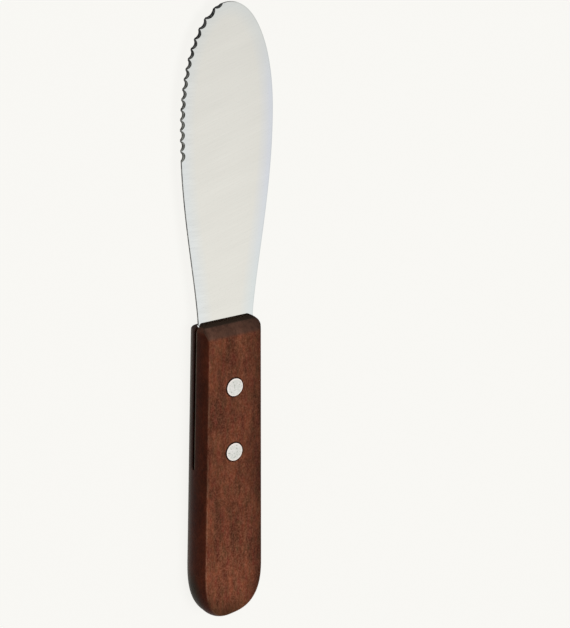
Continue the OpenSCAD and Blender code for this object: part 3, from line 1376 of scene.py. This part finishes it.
    def mark_insets(self, piece: Piece) -> None:
        """Keeps each vertex's distance from the unscalloped edge, in millimetres, for the finish.

        Args:
            piece: the cut blade.
        """
        count = len(piece.data.vertices)
        flat = np.zeros(count * 3)
        piece.data.vertices.foreach_get("co", flat)
        flat = flat.reshape(-1, 3)[:, :2] / MM - (self.front, 0)
        edge = self.outline()
        nearest = np.full(count, np.inf)
        for start, stop in zip(edge, np.roll(edge, -1, 0)):
            run = stop - start
            share = np.clip((flat - start) @ run / (run @ run), 0, 1)
            nearest = np.minimum(nearest, np.linalg.norm(flat - start - share[:, None] * run, axis=1))
        layer = piece.data.attributes.new("edge_inset", "FLOAT", "POINT")
        layer.data.foreach_set("value", nearest.astype(np.float32))

    def mark_walls(self, piece: Piece) -> None:
        """Gives the sheet's own edge wall the ground finish.

        Args:
            piece: the cut blade.
        """
        for face in piece.data.polygons:
            if abs(face.normal.z) < self.wall_slope and face.center.x > self.front * MM:
                face.material_index = 1

    def build(self) -> list[Piece]:
        """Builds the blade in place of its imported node.

        Returns:
            The finished pieces.
        """
        steel, ground_steel = self.finish.build(), self.ground_finish.build()
        piece = self.scallop_tree(steel, ground_steel).make("scalloped_blade", self.blank())
        low, high = self.middle_z - 2 * PAST, self.middle_z + 2 * PAST
        holes = [
            disc("hole_cutter", self.hole_d / 2, low, high, self.front - setback, self.hole_steps)
            for setback in self.rivet_setbacks
        ]
        dressed(carve(piece, holes), steel, ground_steel)
        self.mark_insets(piece)
        self.mark_walls(piece)
        creased(piece)
        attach(piece, BODY)
        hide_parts("blade")
        return [piece]


class Half(Enum):
    """The two halves of a compression rivet."""

    FEMALE = "female"
    MALE = "male"


@dataclass
class Rivets:
    """Two compression rivets, each a hollow half from above and a solid half from below."""

    finish: RivetSteel = field(default_factory=RivetSteel)
    front: float = FRONT
    thickness: float = THICKNESS
    setbacks: dict[str, float] = field(default_factory=lambda: dict(SETBACKS))
    head_diameter: float = 5.4
    head_height: float = 1.2
    rim_break: float = 0.15
    socket_diameter: float = 4.2
    socket_length: float = 6.8
    bore_diameter: float = 2.56
    pin_diameter: float = 2.6
    pin_length: float = 7.3
    around: int = 97
    along: int = 81

    def tree(self, steel: Material) -> ShapeTree:
        """Builds the tree that turns one half from its profile, at first a hollow one from above.

        Args:
            steel: the rivets' material.

        Returns:
            The tree. With no bore the shank is solid.
        """
        tree = ShapeTree(
            "turned_rivet_half",
            self,
            "head_diameter head_height rim_break around along",
            shank_diameter=self.socket_diameter,
            shank_length=self.socket_length,
            bore_radius=self.bore_diameter / 2,
            bore_depth=self.socket_length,
            forward=0.0,
            face_height=self.thickness,
            direction=-1.0,
        )
        size = tree.size
        sheet, round_share, way = tree.patch(size("around"), size("along"))
        head, shank, bore = size("head_diameter") / 2.0, size("shank_diameter") / 2.0, size("bore_radius")
        rim = size("rim_break")

        # Across the face, round the rim, down the head, in to the shank, along it and back up the bore
        rim_angle = way.share(0.2, 0.4) * (math.pi / 2)
        radius = (
            way.share(0.0, 0.2) * (head - rim)
            + rim * rim_angle.sin()
            - way.share(0.5, 0.6) * (head - shank)
            - way.share(0.7, 0.8) * (shank - bore)
            - way.share(0.9, 1.0) * bore
        )
        down = (
            rim * (1.0 - rim_angle.cos())
            + way.share(0.4, 0.5) * (size("head_height") - rim)
            + way.share(0.6, 0.7) * size("shank_length")
            - way.share(0.8, 0.9) * size("bore_depth")
        )
        angle = round_share * (2 * math.pi)
        half = tree.placed(
            sheet,
            size("forward") + radius * angle.cos(),
            radius * angle.sin(),
            size("face_height") + size("direction") * down,
        )
        tree.end(tree.joined(half), (steel, True))
        return tree

    def build(self) -> list[Piece]:
        """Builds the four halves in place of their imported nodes.

        Returns:
            The finished pieces.
        """
        steel = self.finish.build()
        tree = self.tree(steel)
        pin: dict[str, Size] = {
            "shank_diameter": self.pin_diameter,
            "shank_length": self.pin_length,
            "bore_radius": self.pin_diameter / 4,
            "bore_depth": 0.0,
            "face_height": 0.0,
            "direction": 1.0,
        }
        pieces: list[Piece] = []
        for place, setback in self.setbacks.items():
            for half in Half:
                changes = pin if half is Half.MALE else {}
                piece = tree.make(f"{place}_{half.value}_half", forward=self.front - setback, **changes)
                creased(outward(dressed(piece, steel)))
                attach(piece, BODY)
                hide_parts(f"{place}_rivet_{half.value}")
                pieces.append(piece)
        return pieces


# The studio


@dataclass
class Studio:
    """White floor, soft overhead light, and the camera at the photograph's angle."""

    aim_from: Vector = field(default_factory=lambda: Vector((45.0, 0.0, 5.0)))
    towards_camera: Vector = field(default_factory=lambda: Vector((0.3355, 0.535, 0.775)))
    picture_up: Vector = field(default_factory=lambda: Vector((0.942, -0.1905, -0.276)))
    roll: float = 0.0109
    aim_right: float = 16.87
    aim_up: float = 1.765
    distance: float = 1512.0
    lens: float = 303.5
    floor_level: float = -0.02
    backdrop: Colour = (0.948, 0.939, 0.907)
    backdrop_glow: float = 0.93
    floor_bounce: Colour = (0.42, 0.42, 0.42)
    surround_level: float = 0.35
    floor_half: float = 4000.0
    sensor: float = 36.0
    clip: Pair = (0.05, 20.0)
    lamp_place: Vector = field(default_factory=lambda: Vector((20.0, -60.0, 900.0)))
    lamp_side: float = 500.0
    lamp_power: float = 5.5

    def camera(self) -> None:
        """Creates the camera and makes it the scene's own."""
        back = self.towards_camera.normalized()
        right = self.picture_up.cross(back).normalized()
        up = back.cross(right).normalized()
        tilted_right = right * math.cos(self.roll) + up * math.sin(self.roll)
        tilted_up = up * math.cos(self.roll) - right * math.sin(self.roll)
        aim = self.aim_from + tilted_right * self.aim_right + tilted_up * self.aim_up
        camera = linked("camera", bpy.data.cameras.new("camera"))
        camera.data.lens, camera.data.sensor_width = self.lens, self.sensor
        camera.data.clip_start, camera.data.clip_end = self.clip
        frame = Matrix((tilted_right, tilted_up, back)).transposed().to_4x4()
        frame.translation = (aim + back * self.distance) * MM
        camera.matrix_world = frame
        bpy.context.scene.camera = camera

    def seen_directly(self, sheet: Sheet) -> Term:
        """Tells the rays that show the background from those that only carry its light.

        Args:
            sheet: the material or world that asks.

        Returns:
            1 for rays that see the background straight, mirrored or through glass, and 0 for others.
        """
        path = sheet.node("ShaderNodeLightPath")
        rays = ("Is Camera Ray", "Is Glossy Ray", "Is Transmission Ray")
        camera, glossy, through = (Term(sheet, path.outputs[ray]) for ray in rays)
        return camera.at_least(glossy).at_least(through)

    def floor(self) -> None:
        """Lays the floor just under the handle's underside."""
        ends = (-self.floor_half, self.floor_half)
        corners = [(x, y, self.floor_level) for x in ends for y in ends]
        piece = new_piece("studio_floor", np.array(corners), [(0, 2, 3, 1)])
        paint = Paint("white_floor")
        seen = self.seen_directly(paint)
        lit = tuple(part * (1 - self.backdrop_glow) for part in self.backdrop)
        white = paint.surface(
            {
                "Base Color": paint.mixed(seen, self.floor_bounce, lit),
                "Roughness": 1.0,
                "Specular IOR Level": 0.0,
                "Emission Color": paint.mixed(seen, (0.0, 0.0, 0.0), self.backdrop),
                "Emission Strength": self.backdrop_glow,
            }
        )
        piece.data.materials.append(white)

    def world(self) -> None:
        """Sets a white surround, dimmer for the light that it throws."""
        world = bpy.data.worlds.new("surround")
        world.use_nodes = True
        sheet = Sheet(world.node_tree)
        sheet.tree.nodes.clear()
        strength = blend(self.surround_level, 1.0, self.seen_directly(sheet))
        glow = sheet.out("ShaderNodeBackground", {"Color": (*self.backdrop, 1.0), "Strength": strength})
        sheet.node("ShaderNodeOutputWorld", {"Surface": glow})
        bpy.context.scene.world = world

    def lamp(self) -> None:
        """Hangs one square soft lamp over the knife, and turns it towards the handle's front end."""
        lamp = linked("overhead", bpy.data.lights.new("overhead", "AREA"))
        lamp.data.shape = "SQUARE"
        lamp.data.size = self.lamp_side * MM
        lamp.data.energy = self.lamp_power
        lamp.location = self.lamp_place * MM
        aim = Vector((FRONT, 0.0, 0.0)) - self.lamp_place
        lamp.rotation_euler = aim.to_track_quat("-Z", "Y").to_euler()
        lamp.visible_glossy = False

    def build(self) -> None:
        """Builds the whole stage."""
        self.floor()
        self.world()
        self.camera()
        self.lamp()
        bpy.context.scene.view_settings.view_transform = "Standard"


def main() -> None:
    """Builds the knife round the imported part, then the stage."""
    logging.basicConfig(level=logging.INFO, format="%(message)s")
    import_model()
    for assembly in (Handle(), Blade(), Rivets()):
        for piece in assembly.build():
            log.info("%s: %d faces", piece.name, len(piece.data.polygons))
    Studio().build()


if __name__ == "__main__":
    main()
